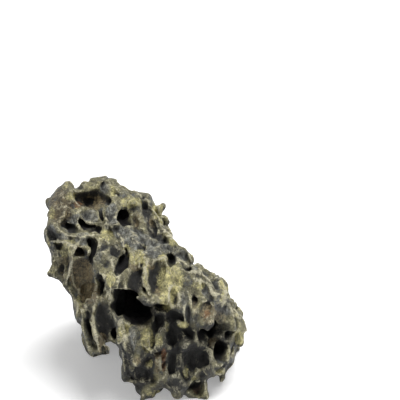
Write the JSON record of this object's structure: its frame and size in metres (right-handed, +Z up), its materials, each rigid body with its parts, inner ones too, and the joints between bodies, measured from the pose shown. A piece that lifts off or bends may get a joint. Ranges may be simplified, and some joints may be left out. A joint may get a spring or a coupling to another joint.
{
  "type": "dragon stone",
  "caption": "Natural pitted clay stone for planted tanks, a tapering block with sharp ridges and deep weathered hollows, standing on its own worn feet.",
  "frame": {"origin": "centre of the footprint box, on the ground the feet rest on", "axes": "+X along the stone's width, towards its lower right end; -Y is the pitted front; +Z up"},
  "size_m": [0.1648, 0.1474, 0.1536],
  "materials": {
    "weathered_clay_stone": "rough slate grey stone with olive clay on the ridges"
  },
  "bodies": {
    "root": {"stone": "weathered_clay_stone"}
  },
  "joints": []
}
